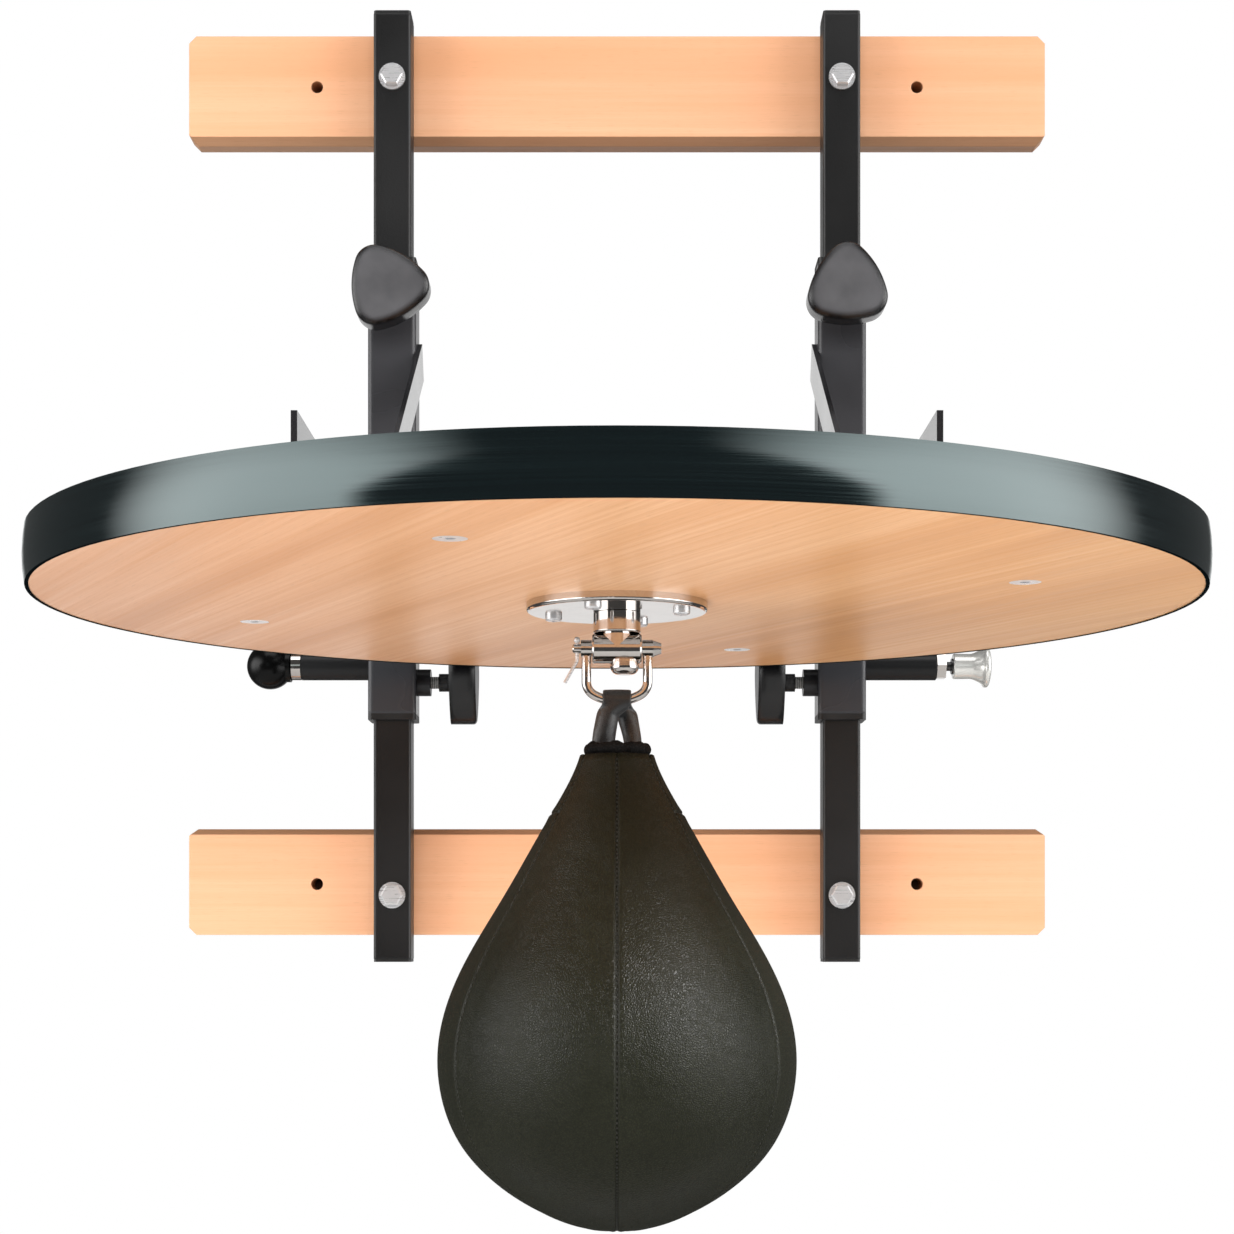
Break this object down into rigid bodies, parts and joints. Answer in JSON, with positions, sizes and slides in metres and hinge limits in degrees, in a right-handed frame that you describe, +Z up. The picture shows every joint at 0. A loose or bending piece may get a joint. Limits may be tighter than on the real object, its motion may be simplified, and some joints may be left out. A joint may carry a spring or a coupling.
{
  "type": "speed bag platform",
  "caption": "Wall-mounted speed bag platform: round board on angle arms, height-adjustable sleeves on two rails with clamp knobs and spring pins, ball swivel, shackle and pear-shaped bag.",
  "frame": {"origin": "on the wall plane (the planks' back faces), midway between the four wall-mounting holes", "axes": "+X to the right seen from the front, +Y into the wall so the board stands out towards -Y, +Z up"},
  "size_m": [0.6104, 0.6752, 0.7729],
  "materials": {
    "plank_wood": "clear satin lacquer on pale beech",
    "board_wood": "clear satin lacquer on beech laminate",
    "edge_black": "high gloss black",
    "black_steel": "semi-gloss black powder coat",
    "zinc_steel": "bright zinc plate",
    "black_nylon": "matte black nylon",
    "knob_plastic": "black with satin faces",
    "chrome": "polished chrome plate",
    "dark_steel": "oiled dark steel",
    "spring_steel": "oiled spring wire",
    "bronze": "sintered bronze",
    "bag_leather": "grained, soft sheen",
    "strap_leather": "matte strap",
    "bladder_rubber": "matte"
  },
  "bodies": {
    "wall_frame": {"upper_plank": "plank_wood", "lower_plank": "plank_wood", "left_rail": "black_steel", "right_rail": "black_steel", "rail_end_caps": "black_nylon", "rail_bolts": "zinc_steel", "rail_nuts": "zinc_steel"},
    "carriage": {"left_sleeve": "black_steel", "right_sleeve": "black_steel", "sleeve_bushings": "black_nylon", "clamp_bosses": "black_steel", "left_arm": "black_steel", "right_arm": "black_steel", "left_brace": "black_steel", "right_brace": "black_steel", "platform_board_lower": "board_wood", "platform_board_upper": "board_wood", "edge_band": "edge_black", "board_screws": "zinc_steel", "arm_bolts": "zinc_steel", "arm_washers": "zinc_steel", "left_pin_barrel": "black_steel", "right_pin_barrel": "black_steel", "left_pin_collar": "chrome", "right_pin_nut": "chrome", "left_pin_spring": "spring_steel", "right_pin_spring": "spring_steel", "swivel_plate": "chrome", "swivel_screws": "zinc_steel", "plate_bush": "bronze", "thrust_balls": "zinc_steel"},
    "left_front_clamp": {"left_front_knob": "knob_plastic", "left_front_stud": "zinc_steel"},
    "right_front_clamp": {"right_front_knob": "knob_plastic", "right_front_stud": "zinc_steel"},
    "left_side_clamp": {"left_side_knob": "knob_plastic", "left_side_stud": "zinc_steel"},
    "right_side_clamp": {"right_side_knob": "knob_plastic", "right_side_stud": "zinc_steel"},
    "left_lock_pin": {"left_pin_plunger": "dark_steel", "left_ball_knob": "knob_plastic"},
    "right_lock_pin": {"right_pin_plunger": "dark_steel", "right_pin_clip": "dark_steel", "right_flared_knob": "chrome"},
    "swivel_head": {"thrust_washer": "zinc_steel", "spindle_nut": "zinc_steel", "swivel_spindle": "zinc_steel", "swivel_collar": "chrome", "collar_set_screw": "zinc_steel", "swivel_barrel": "chrome", "pivot_bush": "bronze", "barrel_plug": "chrome"},
    "shackle_set": {"shackle": "chrome", "clevis_pin": "chrome", "cotter_pin": "zinc_steel"},
    "speed_bag": {"bag_loop": "strap_leather", "bag_collar": "strap_leather", "bag_cover": "bag_leather", "bag_bladder": "bladder_rubber", "bag_valve": "bladder_rubber"}
  },
  "joints": [
    {"name": "carriage_height", "type": "slide", "parent": "wall_frame", "child": "carriage", "axis": [0, 0, 1], "range_m": [-0.0508, 0.0762]},
    {"name": "left_front_clamp_turn", "type": "hinge", "parent": "carriage", "child": "left_front_clamp", "pos_m": [-0.15, -0.0325, 0.118], "axis": [0, -1, 0], "range_deg": [-80, 360]},
    {"name": "right_front_clamp_turn", "type": "hinge", "parent": "carriage", "child": "right_front_clamp", "pos_m": [0.15, -0.0325, 0.118], "axis": [0, -1, 0], "range_deg": [-80, 360]},
    {"name": "left_side_clamp_turn", "type": "hinge", "parent": "carriage", "child": "left_side_clamp", "pos_m": [-0.15, -0.0325, -0.135], "axis": [1, 0, 0], "range_deg": [-80, 360]},
    {"name": "right_side_clamp_turn", "type": "hinge", "parent": "carriage", "child": "right_side_clamp", "pos_m": [0.15, -0.0325, -0.135], "axis": [-1, 0, 0], "range_deg": [-80, 360]},
    {"name": "left_pin_pull", "type": "slide", "parent": "carriage", "child": "left_lock_pin", "axis": [-1, 0, 0], "range_m": [-0.004, 0.003], "stiffness_N_per_m": 400, "deforming": ["left_pin_spring"]},
    {"name": "right_pin_pull", "type": "slide", "parent": "carriage", "child": "right_lock_pin", "axis": [1, 0, 0], "range_m": [-0.004, 0.003], "stiffness_N_per_m": 400, "deforming": ["right_pin_spring"]},
    {"name": "swivel_spin", "type": "hinge", "parent": "carriage", "child": "swivel_head", "pos_m": [0, -0.37, -0.134], "axis": [0, 0, 1], "continuous": true},
    {"name": "shackle_swing", "type": "hinge", "parent": "swivel_head", "child": "shackle_set", "pos_m": [0, -0.37, -0.153], "axis": [1, 0, 0], "range_deg": [-60, 60]},
    {"name": "bag_sway", "type": "hinge", "parent": "shackle_set", "child": "speed_bag", "pos_m": [0, -0.37, -0.1556], "axis": [0, 1, 0], "range_deg": [-14, 14]}
  ]
}
